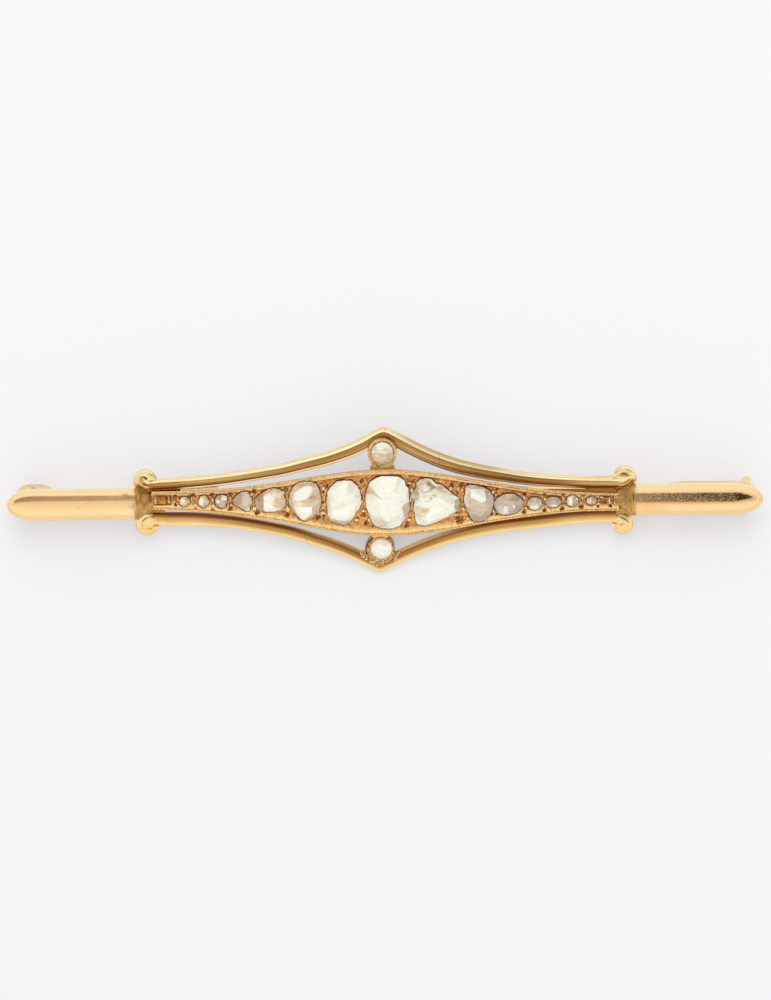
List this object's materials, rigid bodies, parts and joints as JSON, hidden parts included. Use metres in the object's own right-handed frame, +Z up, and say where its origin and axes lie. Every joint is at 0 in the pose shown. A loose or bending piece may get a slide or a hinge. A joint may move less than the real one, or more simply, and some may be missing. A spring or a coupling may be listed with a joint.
{
  "type": "diamond bar brooch",
  "caption": "Gold bar brooch with a pierced pointed centre, a graduated row of rose-cut diamonds, two collet diamonds, scroll ends, a pin and a sliding clasp.",
  "frame": {"origin": "on the table under the middle of the brooch's outline, which is the bottom centre of its box", "axes": "+X along the bars towards the clasp, +Z up from the table, +Y to the rail that is raised. The brooch lies on its back and leans 19.5 degrees about X on its lower rail."},
  "size_m": [0.065, 0.0126, 0.0054],
  "materials": {
    "gold": "polished yellow gold with patina in the recesses",
    "diamond": "polished facets"
  },
  "bodies": {
    "brooch": {"brooch_body": "gold", "pin_stem": "gold", "diamond_01": "diamond", "diamond_02": "diamond", "diamond_03": "diamond", "diamond_04": "diamond", "diamond_05": "diamond", "diamond_06": "diamond", "diamond_07": "diamond", "diamond_08": "diamond", "diamond_09": "diamond", "diamond_10": "diamond", "diamond_11": "diamond", "diamond_12": "diamond", "diamond_13": "diamond", "diamond_14": "diamond", "diamond_15": "diamond", "diamond_top": "diamond", "diamond_bottom": "diamond"},
    "clasp": {"clasp_slider": "gold"}
  },
  "joints": [
    {"name": "clasp_slide", "type": "slide", "parent": "brooch", "child": "clasp", "axis": [1, 0, 0], "range_m": [0, 0.003]}
  ]
}
